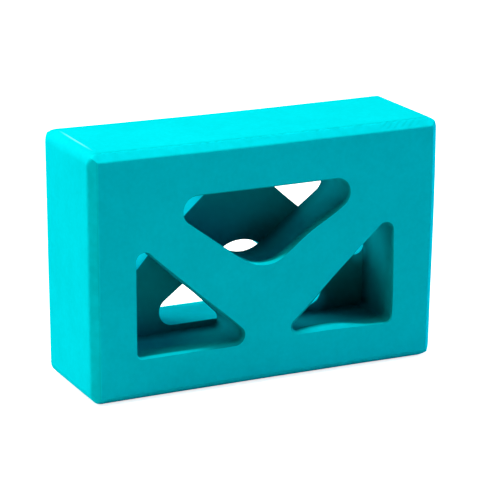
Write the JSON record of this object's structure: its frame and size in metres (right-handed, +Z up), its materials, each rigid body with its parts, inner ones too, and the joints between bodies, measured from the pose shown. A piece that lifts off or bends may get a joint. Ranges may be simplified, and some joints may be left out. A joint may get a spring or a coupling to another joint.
{
  "type": "yoga block",
  "caption": "Turquoise foam yoga block with beveled faces and triangular cut-outs whose struts cross in two layers.",
  "frame": {"origin": "middle of the long narrow side that the block stands on", "axes": "+X along the length, +Y from the front face to the back face through the thickness, +Z up"},
  "size_m": [0.2286, 0.0762, 0.1524],
  "materials": {
    "foam": "matte"
  },
  "bodies": {
    "root": {"foam_block": "foam"}
  },
  "joints": []
}
